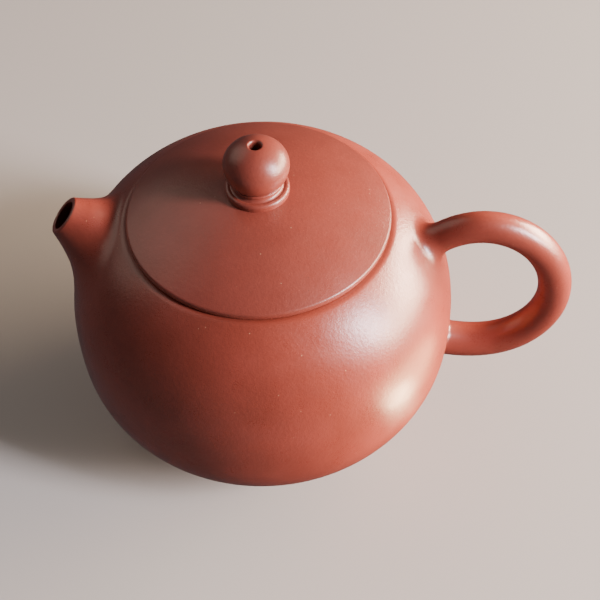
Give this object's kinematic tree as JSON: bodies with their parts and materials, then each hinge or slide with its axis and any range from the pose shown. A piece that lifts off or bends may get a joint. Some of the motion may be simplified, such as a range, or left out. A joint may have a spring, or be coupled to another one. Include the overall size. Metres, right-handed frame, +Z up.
{
  "type": "yixing clay teapot",
  "caption": "Small round unglazed clay teapot with a domed lift-off lid, ball knob with a vent, short spout, loop handle and an inner strainer.",
  "frame": {"origin": "centre of the foot ring's resting face, on the axis of the round body and lid", "axes": "+Z up along the pot's axis, +X towards the handle, -X towards the spout"},
  "size_m": [0.113, 0.085, 0.0778],
  "materials": {
    "pot_clay": "satin",
    "lid_clay": "satin",
    "inner_clay": "matte"
  },
  "bodies": {
    "pot": {"body_wall": "pot_clay", "base_plate": "inner_clay", "foot_ring": "pot_clay", "mouth_ring": "inner_clay", "spout": "pot_clay", "strainer": "inner_clay", "handle": "pot_clay"},
    "lid": {"lid_plate": "lid_clay", "lid_flange": "inner_clay", "knob_collar": "lid_clay", "knob": "lid_clay"}
  },
  "joints": [
    {"name": "lid_lift", "type": "slide", "parent": "pot", "child": "lid", "axis": [0, 0, 1], "range_m": [0, 0.045]}
  ]
}
